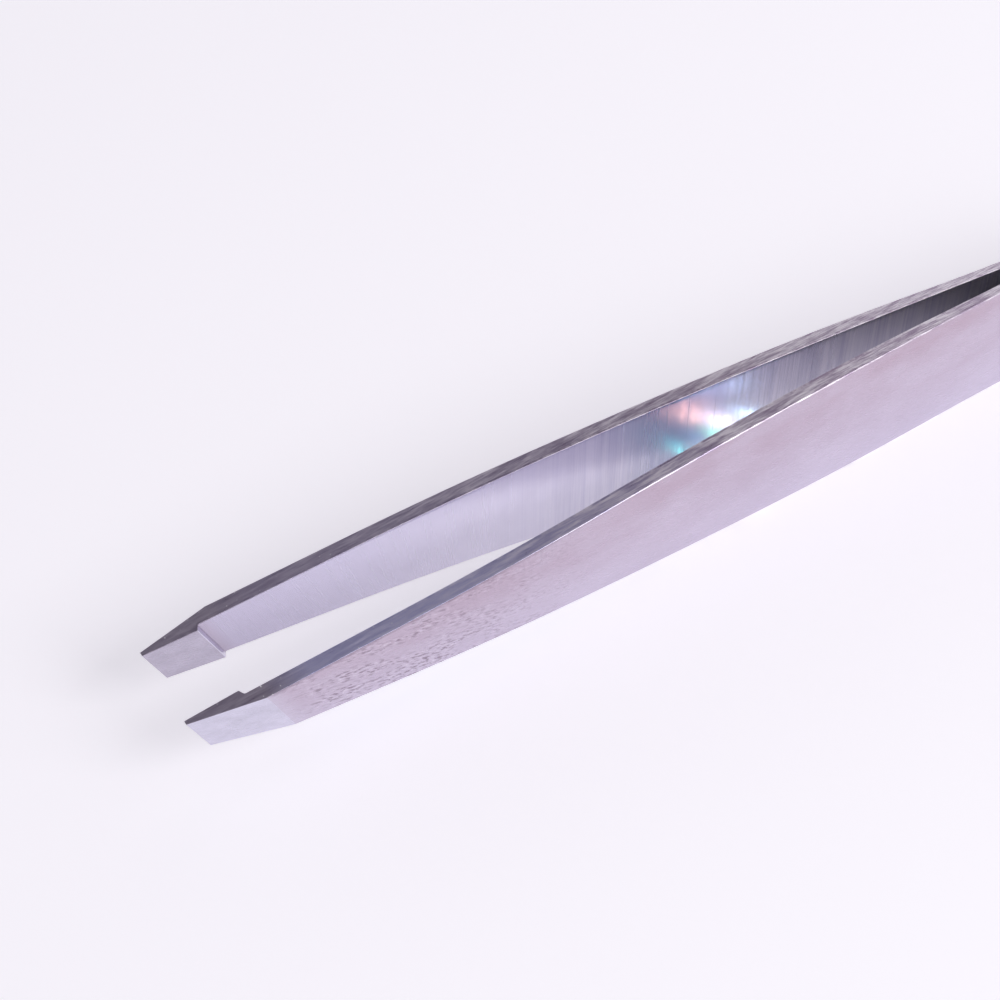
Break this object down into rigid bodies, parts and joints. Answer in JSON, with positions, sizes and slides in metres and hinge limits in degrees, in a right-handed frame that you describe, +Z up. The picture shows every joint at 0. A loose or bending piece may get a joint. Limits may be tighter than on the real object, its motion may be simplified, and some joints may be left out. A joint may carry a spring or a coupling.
{
  "type": "slant tweezers",
  "caption": "Two sprung leaves of ground stainless steel joined at the heel, with slanted tips and raised gripping pads that close under finger pressure.",
  "frame": {"origin": "under the middle of the bounding box, on the plane that the lower long edges of the leaves stand on", "axes": "+X from the tips towards the heel, +Y across the two leaves towards the right leaf, +Z up the width of the leaves"},
  "size_m": [0.095, 0.0092, 0.0104],
  "materials": {
    "leaf_steel": "stainless steel, ground and satin polished",
    "weld_steel": "melted and solidified stainless steel"
  },
  "bodies": {
    "heel": {"right_leaf_heel": "leaf_steel", "left_leaf_heel": "leaf_steel", "upper_spot_weld": "weld_steel", "lower_spot_weld": "weld_steel"},
    "right_arm": {"right_leaf_arm": "leaf_steel"},
    "left_arm": {"left_leaf_arm": "leaf_steel"}
  },
  "joints": [
    {"name": "right_arm_flex", "type": "hinge", "parent": "heel", "child": "right_arm", "pos_m": [0.0245, 0.00105, 0.0052], "axis": [0, 0, 1], "range_deg": [0, 2.5], "stiffness_Nm_per_rad": 1.5},
    {"name": "left_arm_flex", "type": "hinge", "parent": "heel", "child": "left_arm", "pos_m": [0.0245, -0.00105, 0.0052], "axis": [0, 0, -1], "range_deg": [0, 2.5], "stiffness_Nm_per_rad": 1.5}
  ],
  "couplings": [
    {"joint": "left_arm_flex", "follows": "right_arm_flex", "ratio": 1}
  ]
}
